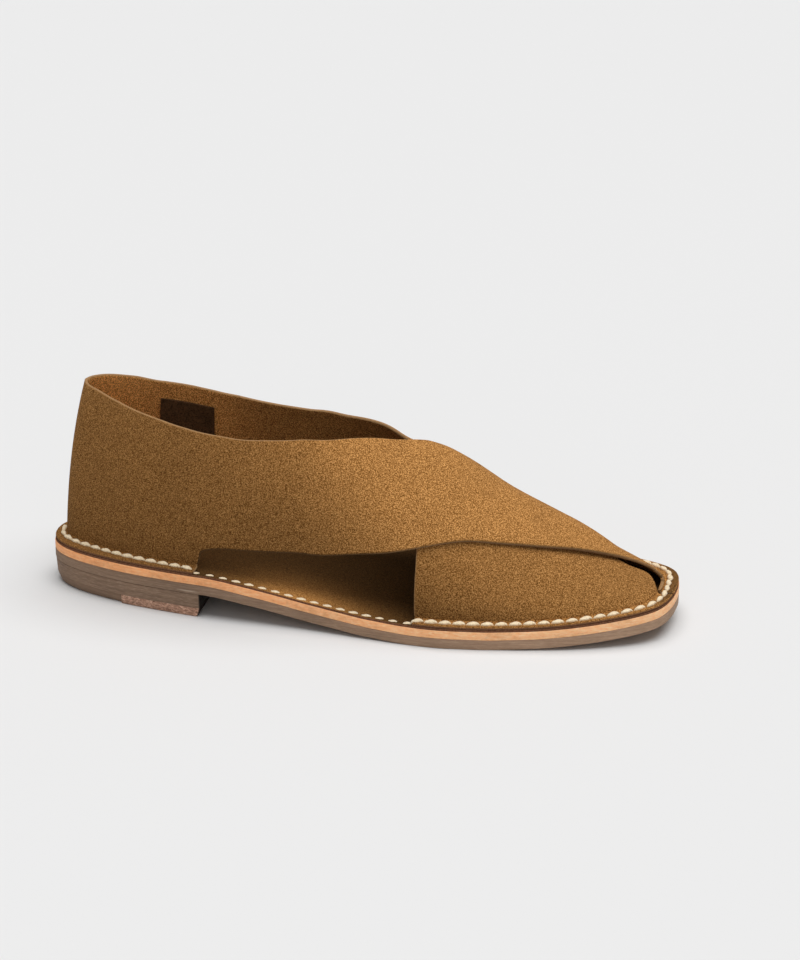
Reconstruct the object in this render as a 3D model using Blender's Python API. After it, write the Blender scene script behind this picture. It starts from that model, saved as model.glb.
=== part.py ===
# Crossover suede sandal, right shoe, standing on its sole.
# X runs heel to toe, +Y is the inner (medial) side, +Z is up.
# The origin is the middle of the footprint on the ground.
import bpy
import bmesh
import math
import numpy as np

# sizes in millimetres
mm = 0.001
soleLength = 292.0
soleWidth = 106.6
heelRise = 11.3
toeSpring = 7.5
outsoleThick = 4.75
midsoleThick = 3.25
insoleThick = 0.8
topPieceThick = 4.4
suede = 1.6
fit = 0.25
instepHeight = 64.8
flangeWide = 5.0
cornerRadius = 1.2
lipGap = 0.35
heelLengthShare = 0.27
rubberShare = 0.135
heelTaper = 0.8
backBevel = 2.6
breastBevel = 1.4
heelInset = 0.2
joinSink = 0.6
patchThick = 0.8
patchDrop = 8.5
patchTall = 30.0

# sole outline: share of length, lateral and medial edge as shares of width
outline = [
    (0.000, -0.019, -0.019),
    (0.003, -0.080, 0.040),
    (0.010, -0.122, 0.084),
    (0.022, -0.162, 0.128),
    (0.041, -0.203, 0.173),
    (0.070, -0.246, 0.221),
    (0.105, -0.285, 0.265),
    (0.150, -0.325, 0.303),
    (0.205, -0.360, 0.327),
    (0.270, -0.392, 0.330),
    (0.330, -0.406, 0.319),
    (0.400, -0.420, 0.323),
    (0.470, -0.441, 0.352),
    (0.540, -0.469, 0.403),
    (0.600, -0.491, 0.458),
    (0.650, -0.500, 0.490),
    (0.700, -0.490, 0.500),
    (0.760, -0.465, 0.487),
    (0.820, -0.433, 0.443),
    (0.870, -0.398, 0.386),
    (0.920, -0.347, 0.311),
    (0.955, -0.300, 0.242),
    (0.980, -0.244, 0.174),
    (0.992, -0.178, 0.118),
    (0.998, -0.098, 0.058),
    (1.000, -0.014, -0.014),
]

# side view of the sole: share of length, share of heel rise, share of toe spring
profile = [
    (0.00, 1.00, 0.00),
    (0.27, 1.00, 0.00),
    (0.35, 0.77, 0.00),
    (0.45, 0.363, 0.00),
    (0.55, 0.080, 0.00),
    (0.62, 0.00, 0.00),
    (0.72, 0.00, 0.00),
    (0.80, 0.00, 0.10),
    (0.90, 0.00, 0.453),
    (1.00, 0.00, 1.00),
]

# width of the turned-out flange: way round the edge, shares of its usual width
# on the lateral and on the medial side
flange = [
    (0.00, 0.98, 0.98),
    (0.05, 1.25, 1.25),
    (0.10, 1.34, 1.34),
    (0.17, 1.22, 1.22),
    (0.27, 1.12, 1.12),
    (0.40, 1.00, 1.00),
    (0.59, 0.86, 0.90),
    (0.75, 0.80, 0.92),
    (0.88, 0.88, 1.12),
    (0.95, 1.12, 1.28),
    (1.00, 1.30, 1.30),
]

# crest of the last: way round the edge, share of length, share of width,
# share of instep height over the insole, lean, squareness
crest = [
    (0.00, 0.192, -0.028, 2.070, 0.038, 1.00),
    (0.10, 0.205, -0.028, 2.039, 0.030, 1.00),
    (0.20, 0.247, -0.028, 1.930, 0.012, 1.00),
    (0.30, 0.322, -0.028, 1.645, 0.000, 1.00),
    (0.40, 0.421, -0.019, 1.450, 0.000, 1.00),
    (0.45, 0.473, -0.014, 1.298, 0.000, 1.05),
    (0.50, 0.524, -0.009, 1.180, 0.000, 1.10),
    (0.55, 0.575, 0.000, 1.041, 0.000, 1.15),
    (0.60, 0.627, 0.009, 0.978, 0.000, 1.20),
    (0.70, 0.729, 0.028, 0.690, 0.000, 1.25),
    (0.80, 0.832, 0.038, 0.441, 0.000, 1.30),
    (0.90, 0.918, 0.033, 0.212, 0.000, 1.30),
    (0.96, 0.961, 0.011, 0.108, 0.000, 1.30),
    (1.00, 0.978, -0.014, 0.070, 0.000, 1.30),
]

# the two ends of the strap, ruled from their lower to their upper edge:
# lower way round, lower height, upper way round, upper height
# height runs from -1 (lateral foot) over 0 (crest) to 1 (medial foot)
lateralBand = [
    (0.000, -1.000, 0.000, -0.612),
    (0.050, -1.000, 0.050, -0.614),
    (0.100, -1.000, 0.100, -0.625),
    (0.150, -1.000, 0.150, -0.634),
    (0.200, -1.000, 0.203, -0.636),
    (0.235, -1.000, 0.245, -0.624),
    (0.262, -1.000, 0.280, -0.602),
    (0.268, -0.950, 0.295, -0.590),
    (0.290, -0.931, 0.320, -0.572),
    (0.330, -0.912, 0.350, -0.543),
    (0.377, -0.887, 0.390, -0.490),
    (0.437, -0.837, 0.430, -0.405),
    (0.495, -0.766, 0.468, -0.305),
    (0.553, -0.680, 0.505, -0.200),
    (0.610, -0.600, 0.535, -0.100),
    (0.660, -0.515, 0.558, 0.000),
    (0.710, -0.448, 0.575, 0.120),
    (0.760, -0.388, 0.586, 0.270),
    (0.805, -0.325, 0.591, 0.450),
    (0.850, -0.258, 0.593, 0.650),
    (0.885, -0.198, 0.591, 0.840),
    (0.915, -0.156, 0.587, 1.000),
    (0.935, -0.147, 0.640, 1.000),
    (0.950, -0.143, 0.720, 1.000),
    (0.963, -0.138, 0.800, 1.000),
    (0.974, -0.115, 0.870, 1.000),
    (0.983, -0.060, 0.925, 1.000),
    (0.990, 0.050, 0.960, 1.000),
    (0.996, 0.220, 0.985, 1.000),
    (1.000, 0.400, 1.000, 1.000),
    (1.006, 1.000, 1.010, 1.000),
    (1.020, 1.000, 1.021, 1.000),
    (1.033, 1.000, 1.033, 1.000),
    (1.045, 1.000, 1.045, 1.000),
]
medialBand = [
    (0.000, 1.000, 0.000, 0.612),
    (0.050, 1.000, 0.050, 0.615),
    (0.100, 1.000, 0.100, 0.624),
    (0.150, 1.000, 0.150, 0.636),
    (0.200, 1.000, 0.203, 0.633),
    (0.235, 1.000, 0.245, 0.626),
    (0.262, 1.000, 0.280, 0.599),
    (0.268, 0.950, 0.295, 0.588),
    (0.290, 0.931, 0.320, 0.570),
    (0.330, 0.912, 0.350, 0.554),
    (0.377, 0.887, 0.390, 0.510),
    (0.437, 0.837, 0.430, 0.425),
    (0.495, 0.766, 0.468, 0.335),
    (0.553, 0.680, 0.505, 0.235),
    (0.610, 0.600, 0.535, 0.110),
    (0.660, 0.515, 0.556, 0.000),
    (0.700, 0.440, 0.572, -0.120),
    (0.740, 0.355, 0.581, -0.270),
    (0.775, 0.255, 0.585, -0.450),
    (0.805, 0.145, 0.587, -0.650),
    (0.835, 0.030, 0.588, -0.840),
    (0.862, -0.090, 0.590, -1.000),
    (0.884, -0.175, 0.640, -1.000),
    (0.905, -0.200, 0.700, -1.000),
    (0.926, -0.190, 0.760, -1.000),
    (0.940, -0.226, 0.815, -1.000),
    (0.948, -0.318, 0.860, -1.000),
    (0.9520, -0.430, 0.900, -1.000),
    (0.9530, -0.530, 0.930, -1.000),
    (0.9535, -0.600, 0.9515, -1.000),
]
heelFootRows = 6
foreFootRow = 21

for old in list(bpy.data.objects):
    bpy.data.objects.remove(old, do_unlink=True)


def smoothLine(rows, column):
    """Shape-keeping cubic through one column of a table."""
    x = np.array([r[0] for r in rows], float)
    y = np.array([r[column] for r in rows], float)
    h = np.diff(x)
    d = np.diff(y) / h
    m = np.zeros_like(y)
    for i in range(1, len(x) - 1):
        if d[i - 1] * d[i] > 0:
            a = 2 * h[i] + h[i - 1]
            b = h[i] + 2 * h[i - 1]
            m[i] = (a + b) / (a / d[i - 1] + b / d[i])

    def endSlope(h0, h1, d0, d1):
        s = ((2 * h0 + h1) * d0 - h0 * d1) / (h0 + h1)
        if s * d0 <= 0:
            return 0.0
        if d0 * d1 < 0 and abs(s) > 3 * abs(d0):
            return 3 * d0
        return s

    m[0] = endSlope(h[0], h[1], d[0], d[1])
    m[-1] = endSlope(h[-1], h[-2], d[-1], d[-2])

    def at(q):
        q = np.clip(np.asarray(q, float), x[0], x[-1])
        k = np.clip(np.searchsorted(x, q, side="right") - 1, 0, len(h) - 1)
        t = (q - x[k]) / h[k]
        a = (1 + 2 * t) * (1 - t) ** 2
        b = t * (1 - t) ** 2
        c = t * t * (3 - 2 * t)
        e = t * t * (t - 1)
        return a * y[k] + b * h[k] * m[k] + c * y[k + 1] + e * h[k] * m[k + 1]

    return at


def edgeLine(side, inset):
    """Edge of the sole on one side, moved in by an inset that may vary along it."""
    column = 1 if side < 0 else 2
    pts = np.array([(r[0] * soleLength, r[column] * soleWidth) for r in outline])
    run = np.concatenate([[0.0], np.cumsum(np.hypot(*np.diff(pts, axis=0).T))])
    fx = smoothLine(list(zip(run, pts[:, 0])), 1)
    fy = smoothLine(list(zip(run, pts[:, 1])), 1)
    s = np.linspace(0.0, run[-1], 400)
    line = np.stack([fx(s), fy(s)], 1)
    tan = np.gradient(line, axis=0)
    tan /= np.linalg.norm(tan, axis=1)[:, None]
    tan[0] = (0.0, side)
    tan[-1] = (0.0, -side)
    out = np.stack([tan[:, 1], -tan[:, 0]], 1) * -side
    share = np.linspace(0.0, 1.0, 400)
    depth = inset(share) if callable(inset) else np.full(400, float(inset))
    line = line - out * depth[:, None]
    run = np.concatenate([[0.0], np.cumsum(np.hypot(*np.diff(line, axis=0).T))])
    run /= run[-1]

    def at(p):
        x = np.interp(p, run, line[:, 0])
        y = np.interp(p, run, line[:, 1])
        nx = np.interp(p, run, out[:, 0])
        ny = np.interp(p, run, out[:, 1])
        n = np.hypot(nx, ny)
        return x, y, nx / n, ny / n, np.interp(p, run, depth)

    return at


heelShare = smoothLine(profile, 1)
toeShare = smoothLine(profile, 2)
crestX = smoothLine(crest, 1)
crestY = smoothLine(crest, 2)
crestZ = smoothLine(crest, 3)
crestLean = smoothLine(crest, 4)
crestPower = smoothLine(crest, 5)


def ground(x):
    """Underside of the outsole."""
    u = np.clip(np.asarray(x, float) / soleLength, 0.0, 1.0)
    return heelShare(u) * heelRise + toeShare(u) * toeSpring


midsoleBase = outsoleThick + fit
insoleBase = midsoleBase + midsoleThick + fit
flangeBase = insoleBase + insoleThick + fit
flangeShare = {-1: smoothLine(flange, 1), 1: smoothLine(flange, 2)}
wrapEnd = 1.06


def footEdge(side):
    """Foot line of one side; past the toe tip it goes on along the other side."""
    near = edgeLine(side, lambda share: flangeShare[side](share) * flangeWide)
    far = edgeLine(-side, lambda share: flangeShare[-side](share) * flangeWide)

    def at(p):
        p = np.asarray(p, float)
        here = near(np.minimum(p, 1.0))
        there = far(np.minimum(2.0 - p, 1.0))
        return tuple(np.where(p > 1.0, b, a) for a, b in zip(here, there))

    return at


footLine = {-1: footEdge(-1), 1: footEdge(1)}


def lastPoint(p, t):
    """Outside of the upper, p round the edge, t over the foot."""
    p = np.clip(np.asarray(p, float), 0.0, wrapEnd)
    t = np.clip(np.asarray(t, float), -1.0, 1.0)
    p, t = np.broadcast_arrays(p, t)
    lx, ly = footLine[-1](p)[:2]
    mx, my = footLine[1](p)[:2]
    fx = np.where(t < 0, lx, mx)
    fy = np.where(t < 0, ly, my)
    fz = ground(fx) + flangeBase
    tx = crestX(p) * soleLength
    ty = crestY(p) * soleWidth
    tz = ground(tx) + flangeBase + crestZ(p) * instepHeight
    angle = (1 - np.abs(t)) * math.pi / 2
    power = crestPower(p)
    run = 1 - np.cos(angle) ** power
    rise = np.sin(angle) ** power
    lean = crestLean(p) * (tz - fz) * rise * (1 - run)
    x = fx + (tx - fx) * run + lean
    y = fy + (ty - fy) * run
    z = fz + (tz - fz) * rise
    return np.stack([x, y, z], -1)


def lastNormal(p, t):
    """Outward normal of the last."""
    dp = 0.004
    dt = 0.02
    a = lastPoint(np.asarray(p) + dp, t) - lastPoint(np.asarray(p) - dp, t)
    b = lastPoint(p, np.asarray(t) + dt) - lastPoint(p, np.asarray(t) - dt)
    n = np.cross(a, b)
    return n / np.linalg.norm(n, axis=-1)[..., None]


def footHeight(p, side):
    """Height share where the wall leaves the turned-out flange."""
    fx = footLine[side](p)[0]
    tx = crestX(p) * soleLength
    tall = crestZ(p) * instepHeight + ground(tx) - ground(fx)
    share = np.clip((suede + cornerRadius) / np.maximum(tall, 0.1), 0.0, 1.0)
    return np.arcsin(share ** (1 / crestPower(p))) * 2 / math.pi


def smoothStep(x):
    x = np.clip(x, 0.0, 1.0)
    return x * x * (3 - 2 * x)


def sampleBand(rows, steps):
    """Finer rulings of a band, from the heel to its end."""
    table = [(float(i),) + tuple(r) for i, r in enumerate(rows)]
    lines = [smoothLine(table, k) for k in range(1, 5)]
    q = np.linspace(0.0, len(rows) - 1.0, (len(rows) - 1) * steps + 1)
    return q, np.stack([f(q) for f in lines], 1)


# where the lower band lies, so the upper band can ride over it
lowerRearP = smoothLine(sorted((r[3], r[2]) for r in medialBand[9:22]), 1)
lowerFrontT = smoothLine([(r[0], r[1]) for r in medialBand[13:26]], 1)


def lift(p, t):
    """How far the over-lying band stands off the last."""
    rear = smoothStep((p - lowerRearP(np.clip(t, -1.0, 0.0)) + 0.090) / 0.082)
    front = smoothStep((lowerFrontT(p) + 0.50 - t) / 0.44)
    tip = 1 - 0.6 * smoothStep((p - 0.93) / 0.07)
    foot = smoothStep((1.0 - np.abs(t)) / 0.25)
    return (suede + lipGap) * rear * front * tip * np.minimum(1.0, foot + 0.0 * p)


rowCount = 12
flangeSteps = [(30.0, 0.0), (60.0, 0.0), (90.0, 0.0), (90.0, 0.5), (90.0, 1.0)]


def bandColumns(rows, side, over):
    """Columns of wall and flange points, each a dict of row to outer and inner point."""
    q, lines = sampleBand(rows, 2)
    columns = []
    for i, (pa, ta, pb, tb) in zip(q, lines):
        heelFoot = i <= heelFootRows + 1e-6
        foreFoot = i >= foreFootRow - 1e-6
        if heelFoot:
            ta = side * (1 - footHeight(pa, side))
        if foreFoot:
            tb = -side * (1 - footHeight(pb, -side))
        ta = float(np.clip(ta, footHeight(pa, -1) - 1, 1 - footHeight(pa, 1)))
        if pa > 1.0 and ta >= 1 - footHeight(pa, 1) - 1e-6:
            pa, ta = pb, tb
        s = np.linspace(0.0, 1.0, rowCount + 1)
        p = pa + (pb - pa) * s
        t = ta + (tb - ta) * s
        pts = lastPoint(p, t)
        nrm = lastNormal(p, t)
        up = lift(p, t) if over else np.zeros_like(p)
        outer = pts + nrm * up[:, None]
        inner = outer - nrm * suede
        col = {k: (outer[k], inner[k]) for k in range(rowCount + 1)}
        if heelFoot:
            addFlange(col, pa, side, 0, -1)
        if foreFoot:
            addFlange(col, pb, -side, rowCount, 1)
        columns.append(col)
    return columns


def addFlange(col, p, side, row, way):
    """Turned-out flange rows beside a wall row that stands on the foot line."""
    ex, ey, nx, ny, depth = footLine[side](p)
    n = np.array([nx, ny, 0.0])
    x0, y0 = col[row][0][:2]
    wide = depth - fit + (ex - x0) * nx + (ey - y0) * ny
    top = col[row][0][2]
    zf = top - suede - cornerRadius
    for k, (deg, far) in enumerate(flangeSteps):
        a = math.radians(deg)
        out = cornerRadius * (1 - math.cos(a)) + far * (wide - cornerRadius)
        inn = cornerRadius - (cornerRadius + suede) * math.cos(a) + far * (wide - cornerRadius)
        oz = top - cornerRadius * math.sin(a)
        iz = top - (cornerRadius + suede) * math.sin(a)
        ox, oy = x0 + n[0] * out, y0 + n[1] * out
        ix, iy = x0 + n[0] * inn, y0 + n[1] * inn
        if far > 0:
            tilt = ground(ix) + flangeBase - zf
            oz = oz + tilt
            iz = iz + tilt
        col[row + way * (k + 1)] = (np.array([ox, oy, oz]), np.array([ix, iy, iz]))


def meshObject(name, verts, faces, smooth=True):
    """One closed object from points in millimetres."""
    keys = {}
    remap = []
    pts = []
    for v in verts:
        key = (round(float(v[0]), 4), round(float(v[1]), 4), round(float(v[2]), 4))
        if key not in keys:
            keys[key] = len(pts)
            pts.append(((v[0] - soleLength / 2) * mm, v[1] * mm, v[2] * mm))
        remap.append(keys[key])
    mesh = bpy.data.meshes.new(name)
    clean = []
    for f in faces:
        ids = []
        for i in f:
            j = remap[i]
            if j not in ids:
                ids.append(j)
        if len(ids) >= 3:
            clean.append(ids)
    mesh.from_pydata(pts, [], clean)
    bm = bmesh.new()
    bm.from_mesh(mesh)
    bmesh.ops.delete(bm, geom=[v for v in bm.verts if not v.link_faces], context="VERTS")
    bmesh.ops.triangulate(bm, faces=bm.faces[:])
    bmesh.ops.recalc_face_normals(bm, faces=bm.faces[:])
    bm.to_mesh(mesh)
    bm.free()
    for poly in mesh.polygons:
        poly.use_smooth = smooth
    obj = bpy.data.objects.new(name, mesh)
    bpy.context.scene.collection.objects.link(obj)
    return obj


def thicken(name, columns):
    """Closed wall from columns of outer and inner points."""
    index = {}
    verts = []
    for i, col in enumerate(columns):
        for r, pair in col.items():
            index[(i, r)] = len(verts)
            verts.extend(pair)
    faces = []
    edges = {}
    for i in range(len(columns) - 1):
        for r in columns[i]:
            cell = [(i, r), (i + 1, r), (i + 1, r + 1), (i, r + 1)]
            if all(c in index for c in cell):
                ids = [index[c] for c in cell]
                faces.append(ids)
                faces.append([j + 1 for j in reversed(ids)])
                for a, b in zip(ids, ids[1:] + ids[:1]):
                    edges[(a, b)] = edges.get((a, b), 0) + 1
    for a, b in edges:
        if (b, a) not in edges:
            faces.append([b, a, a + 1, b + 1])
    return meshObject(name, verts, faces)


def gridSolid(name, top, bottom, smooth=False):
    """Closed solid between two grids of points."""
    n, m, _ = top.shape
    verts = list(top.reshape(-1, 3)) + list(bottom.reshape(-1, 3))
    off = n * m
    faces = []
    for i in range(n - 1):
        for j in range(m - 1):
            a, b, c, d = i * m + j, (i + 1) * m + j, (i + 1) * m + j + 1, i * m + j + 1
            faces.append([a, b, c, d])
            faces.append([off + d, off + c, off + b, off + a])
    for i in range(n - 1):
        for j in (0, m - 1):
            a, b = i * m + j, (i + 1) * m + j
            faces.append([a, b, off + b, off + a])
    for j in range(m - 1):
        for i in (0, n - 1):
            a, b = i * m + j, i * m + j + 1
            faces.append([a, b, off + b, off + a])
    return meshObject(name, verts, faces, smooth)


def plate(name, base, thick, inset):
    """A layer of the sole that follows its side view."""
    x = stationX(0.0, 1.0)
    grid = crossGrid(x, inset)
    z = ground(grid[..., 0]) + base
    low = np.concatenate([grid, z[..., None]], -1)
    high = low + np.array([0.0, 0.0, thick])
    return gridSolid(name, high, low)


def stationX(u0, u1):
    """Lengthwise stations as shares of length."""
    ends = [r[0] for r in outline]
    mids = [0.125, 0.178, 0.24, 0.30, 0.365, 0.435, 0.505, 0.57, 0.62, 0.675, 0.72,
            0.79, 0.845, 0.895, 0.938, 0.968, 0.0012, 0.006, 0.015, 0.03, 0.055, 0.987,
            0.9955, 0.9992, 0.35, 0.45, 0.55, 0.8, 0.9]
    u = sorted(set(ends + mids + [u0, u1]))
    return np.array([v for v in u if u0 - 1e-9 <= v <= u1 + 1e-9]) * soleLength


def crossGrid(x, inset, cols=5):
    """Plan grid of the outline at the given stations."""
    rows = []
    sides = []
    for side in (-1, 1):
        at = edgeLine(side, inset)
        p = np.linspace(0.0, 1.0, 1601)
        ex, ey = at(p)[:2]
        sides.append((ex, ey))
    lo = max(sides[0][0][0], sides[1][0][0])
    hi = min(sides[0][0][-1], sides[1][0][-1])
    for v in x:
        v = min(max(v, lo), hi)
        ya = np.interp(v, sides[0][0], sides[0][1])
        yb = np.interp(v, sides[1][0], sides[1][1])
        if v <= lo or v >= hi:
            ya = yb = (ya + yb) / 2
        y = ya + (yb - ya) * np.linspace(0.0, 1.0, cols)
        rows.append(np.stack([np.full(cols, v), y], 1))
    return np.array(rows)


def material(name, color, rough):
    m = bpy.data.materials.new(name)
    m.use_nodes = True
    b = m.node_tree.nodes["Principled BSDF"]
    b.inputs["Base Color"].default_value = (*color, 1.0)
    b.inputs["Roughness"].default_value = rough
    m.diffuse_color = (*color, 1.0)
    return m


# sole layers
outsole = plate("outsole", 0.0, outsoleThick, 0.0)
midsole = plate("midsole", midsoleBase, midsoleThick, 0.0)
insole = plate("insole", insoleBase, insoleThick, fit)

# heel: a block under the outsole and a two-part top piece on the ground
heelTop = heelRise - fit
blockLow = topPieceThick + fit


def heelSolid(name, u0, u1, zLow, zHigh, insetLow, insetHigh, bevel=0.0):
    x = stationX(u0, u1)
    high = crossGrid(x, insetHigh)
    low = crossGrid(x, insetLow)
    high = np.concatenate([high, np.full(high.shape[:2] + (1,), zHigh)], -1)
    low = np.concatenate([low, np.full(low.shape[:2] + (1,), zLow)], -1)
    if u0 == 0.0:
        low[:, :, 0] = np.maximum(low[:, :, 0], insetLow)
    low[-1, :, 0] -= bevel
    return gridSolid(name, high, low)


insetMid = heelInset + heelTaper * (heelTop - blockLow) / heelTop
insetFoot = heelInset + heelTaper
heelBlock = heelSolid("heel_block", 0.0, heelLengthShare, blockLow, heelTop, insetMid, heelInset)
rearTop = heelSolid("top_piece_rubber", 0.0, rubberShare, 0.0, topPieceThick,
                    insetFoot + backBevel * 0.5, insetMid)
frontTop = heelSolid("top_piece_leather", rubberShare + fit / soleLength, heelLengthShare,
                     0.0, topPieceThick, insetFoot, insetMid, breastBevel)

# upper: one strap round the heel, its two ends crossed over the foot
lateral = bandColumns(lateralBand, -1, True)
medial = bandColumns(medialBand, 1, False)
strapColumns = medial[:0:-1] + lateral
upper = thicken("upper", strapColumns)


def joinPatch(name):
    """Filling between the two bands that joins them where they cross."""
    top = []
    low = []
    for p in np.linspace(0.63, 0.83, 13):
        reach = np.interp(p, [0.63, 0.83], [0.42, 0.08])
        t = np.linspace(-reach, min(reach, 0.9 * lowerFrontT(p)), 9)
        pt = lastPoint(np.full(9, p), t)
        nr = lastNormal(np.full(9, p), t)
        top.append(pt + nr * (lipGap + joinSink))
        low.append(pt - nr * joinSink)
    return gridSolid(name, np.array(top), np.array(low))


patch = joinPatch("join_patch")
mod = upper.modifiers.new("join", "BOOLEAN")
mod.operation = "UNION"
mod.solver = "EXACT"
mod.object = patch
patch.hide_render = True
patch.display_type = "WIRE"
bpy.context.view_layer.update()
graph = bpy.context.evaluated_depsgraph_get()
joined = bpy.data.meshes.new_from_object(upper.evaluated_get(graph))
upper.modifiers.clear()
upper.data = joined
upper.data.name = "upper"
bpy.data.objects.remove(patch, do_unlink=True)
for poly in upper.data.polygons:
    poly.use_smooth = True


def liningPatch(name):
    """Bare patch inside the medial quarter near the heel."""
    top = []
    low = []
    collar = smoothLine([(r[2], r[3]) for r in medialBand[:14]], 1)
    for p in np.linspace(0.150, 0.238, 8):
        edge = lastPoint(p, collar(p))[2]
        wall = np.linspace(0.97, 0.5, 200)
        pts = lastPoint(np.full(200, p), wall)
        high = np.interp(edge - patchDrop, pts[:, 2], wall)
        deep = np.interp(edge - patchDrop - patchTall, pts[:, 2], wall)
        t = np.linspace(high, deep, 7)
        pt = lastPoint(np.full(7, p), t)
        nr = lastNormal(np.full(7, p), t)
        top.append(pt - nr * (suede + fit))
        low.append(pt - nr * (suede + fit + patchThick))
    return gridSolid(name, np.array(top), np.array(low), True)


lining = liningPatch("lining_patch")

upper.data.materials.clear()
upper.data.materials.append(material("suede", (0.27, 0.145, 0.052), 0.95))
insole.data.materials.append(material("insole_suede", (0.17, 0.105, 0.045), 0.95))
midsole.data.materials.append(material("midsole_leather", (0.62, 0.36, 0.17), 0.6))
outsole.data.materials.append(material("outsole_rubber", (0.17, 0.125, 0.09), 0.7))
heelBlock.data.materials.append(material("heel_rubber", (0.165, 0.12, 0.088), 0.7))
rearTop.data.materials.append(material("top_piece_rubber", (0.16, 0.117, 0.086), 0.72))
frontTop.data.materials.append(material("top_piece_leather", (0.30, 0.17, 0.11), 0.8))
lining.data.materials.append(material("lining_leather", (0.07, 0.036, 0.02), 0.7))
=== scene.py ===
# Crossover suede sandal, right shoe: its fine shape, finishes, floor, light and camera.
# X runs heel to toe, +Y is the inner side, +Z is up. Shapes are worked out in millimetres.
import bpy
import bmesh
import math
import numpy as np
from mathutils import Matrix, Vector


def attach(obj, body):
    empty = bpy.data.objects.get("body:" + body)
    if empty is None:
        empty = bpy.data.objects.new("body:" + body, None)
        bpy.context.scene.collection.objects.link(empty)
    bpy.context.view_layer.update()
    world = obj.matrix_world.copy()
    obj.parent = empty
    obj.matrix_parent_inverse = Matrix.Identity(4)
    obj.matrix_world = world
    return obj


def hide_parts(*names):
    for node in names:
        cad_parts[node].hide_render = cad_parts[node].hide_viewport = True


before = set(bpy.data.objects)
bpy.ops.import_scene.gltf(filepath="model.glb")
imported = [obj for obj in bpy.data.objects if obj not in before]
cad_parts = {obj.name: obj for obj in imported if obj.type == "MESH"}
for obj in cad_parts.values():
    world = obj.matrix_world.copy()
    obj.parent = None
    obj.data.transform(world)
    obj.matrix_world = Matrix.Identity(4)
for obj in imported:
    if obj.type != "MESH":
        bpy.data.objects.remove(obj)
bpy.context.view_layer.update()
mm = 0.001
scene = bpy.context.scene
print("frame loaded")

# the last and the sole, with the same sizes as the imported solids
last = {
    "soleLength": 292.0, "soleWidth": 106.6, "heelRise": 11.3, "toeSpring": 7.5,
    "outsoleThick": 4.75, "midsoleThick": 3.25, "insoleThick": 0.8, "topPieceThick": 4.4,
    "suede": 1.6, "fit": 0.25, "instepHeight": 64.8, "flangeWide": 5.0,
    "cornerRadius": 1.2, "lipGap": 0.35, "heelLengthShare": 0.27, "rubberShare": 0.135,
    "heelTaper": 0.8, "backBevel": 2.6, "breastBevel": 1.4, "heelInset": 0.2,
    "patchThick": 0.8, "patchDrop": 8.5, "patchTall": 30.0,
}

# share of length, lateral and medial edge as shares of width
outline = [
    (0.0, -0.019, -0.019), (0.003, -0.08, 0.04), (0.01, -0.122, 0.084),
    (0.022, -0.162, 0.128), (0.041, -0.203, 0.173), (0.07, -0.246, 0.221),
    (0.105, -0.285, 0.265), (0.15, -0.325, 0.303), (0.205, -0.36, 0.327),
    (0.27, -0.392, 0.33), (0.33, -0.406, 0.319), (0.4, -0.42, 0.323),
    (0.47, -0.441, 0.352), (0.54, -0.469, 0.403), (0.6, -0.491, 0.458),
    (0.65, -0.5, 0.49), (0.7, -0.49, 0.5), (0.76, -0.465, 0.487),
    (0.82, -0.433, 0.443), (0.87, -0.398, 0.386), (0.92, -0.347, 0.311),
    (0.955, -0.3, 0.242), (0.98, -0.244, 0.174), (0.992, -0.178, 0.118),
    (0.998, -0.098, 0.058), (1.0, -0.014, -0.014),
]

# share of length, share of heel rise, share of toe spring
profile = [
    (0.0, 1.0, 0.0), (0.27, 1.0, 0.0), (0.35, 0.77, 0.0), (0.45, 0.363, 0.0),
    (0.55, 0.08, 0.0), (0.62, 0.0, 0.0), (0.72, 0.0, 0.0), (0.8, 0.0, 0.1),
    (0.9, 0.0, 0.453), (1.0, 0.0, 1.0),
]

# way round the edge, shares of the flange's usual width on the lateral and medial side
flange = [
    (0.0, 0.98, 0.98), (0.05, 1.25, 1.25), (0.1, 1.34, 1.34), (0.17, 1.22, 1.22),
    (0.27, 1.12, 1.12), (0.4, 1.0, 1.0),
    (0.59, 0.86, 0.9), (0.75, 0.8, 0.92), (0.88, 0.88, 1.12), (0.95, 1.12, 1.28),
    (1.0, 1.3, 1.3),
]

# way round, share of length, share of width, share of instep height, lean, squareness
crest = [
    (0.0, 0.192, -0.028, 2.07, 0.038, 1.0), (0.1, 0.205, -0.028, 2.039, 0.03, 1.0),
    (0.2, 0.247, -0.028, 1.93, 0.012, 1.0), (0.3, 0.322, -0.028, 1.645, 0.0, 1.0),
    (0.4, 0.421, -0.019, 1.45, 0.0, 1.0), (0.45, 0.473, -0.014, 1.298, 0.0, 1.05),
    (0.5, 0.524, -0.009, 1.18, 0.0, 1.1), (0.55, 0.575, 0.0, 1.041, 0.0, 1.15),
    (0.6, 0.627, 0.009, 0.978, 0.0, 1.2), (0.7, 0.729, 0.028, 0.69, 0.0, 1.25),
    (0.8, 0.832, 0.038, 0.441, 0.0, 1.3), (0.9, 0.918, 0.033, 0.212, 0.0, 1.3),
    (0.96, 0.961, 0.011, 0.108, 0.0, 1.3), (1.0, 0.978, -0.014, 0.07, 0.0, 1.3),
]

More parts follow.
